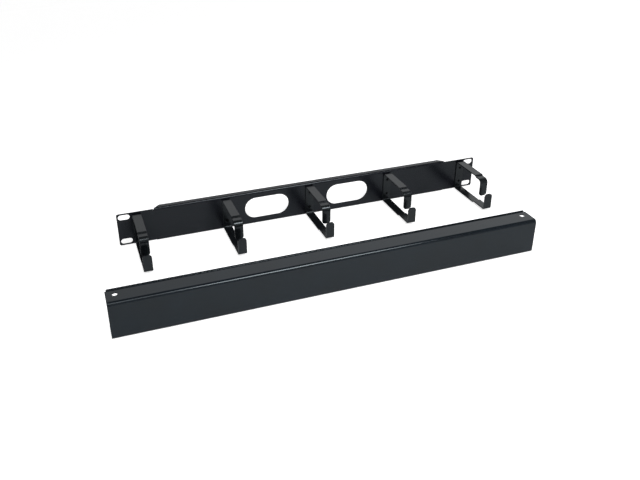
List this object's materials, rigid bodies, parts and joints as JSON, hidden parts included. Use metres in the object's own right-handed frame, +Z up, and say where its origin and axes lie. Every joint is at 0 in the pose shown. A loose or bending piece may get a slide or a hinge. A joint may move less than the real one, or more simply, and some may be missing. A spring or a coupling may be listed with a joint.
{
  "type": "horizontal cable manager",
  "caption": "Flat rack panel with slotted ears, cut-outs and open cable rings along its front, and a folded channel cover that pushes on over the rings.",
  "frame": {"origin": "the middle of the four rack slots, in the plane of the back of the ears, which lies on the rack's rails", "axes": "+X along the rack opening to the viewer's right, -Y out of the front towards the viewer, +Z up"},
  "size_m": [0.511, 0.1885, 0.044],
  "materials": {
    "panel_coat": "fine black powder coat on steel sheet",
    "ring_coat": "fine black powder coat on folded steel strip",
    "rivet_coat": "black coated blind rivet",
    "pin_steel": "dull grey steel of a broken off rivet pin",
    "cover_coat": "fine black powder coat on folded steel sheet"
  },
  "bodies": {
    "panel": {"back_panel": "panel_coat", "cable_ring_1": "ring_coat", "cable_ring_2": "ring_coat", "cable_ring_3": "ring_coat", "cable_ring_4": "ring_coat", "cable_ring_5": "ring_coat", "rivet_1_lower": "rivet_coat", "rivet_1_upper": "rivet_coat", "rivet_2_lower": "rivet_coat", "rivet_2_upper": "rivet_coat", "rivet_3_lower": "rivet_coat", "rivet_3_upper": "rivet_coat", "rivet_4_lower": "rivet_coat", "rivet_4_upper": "rivet_coat", "rivet_5_lower": "rivet_coat", "rivet_5_upper": "rivet_coat", "rivet_pin_1_lower": "pin_steel", "rivet_pin_1_upper": "pin_steel", "rivet_pin_2_lower": "pin_steel", "rivet_pin_2_upper": "pin_steel", "rivet_pin_3_lower": "pin_steel", "rivet_pin_3_upper": "pin_steel", "rivet_pin_4_lower": "pin_steel", "rivet_pin_4_upper": "pin_steel", "rivet_pin_5_lower": "pin_steel", "rivet_pin_5_upper": "pin_steel"},
    "cover": {"cover": "cover_coat"}
  },
  "joints": [
    {"name": "cover_slide", "type": "slide", "parent": "panel", "child": "cover", "axis": [0.2607, 0.9654, 0], "range_m": [0, 0.1089]}
  ]
}
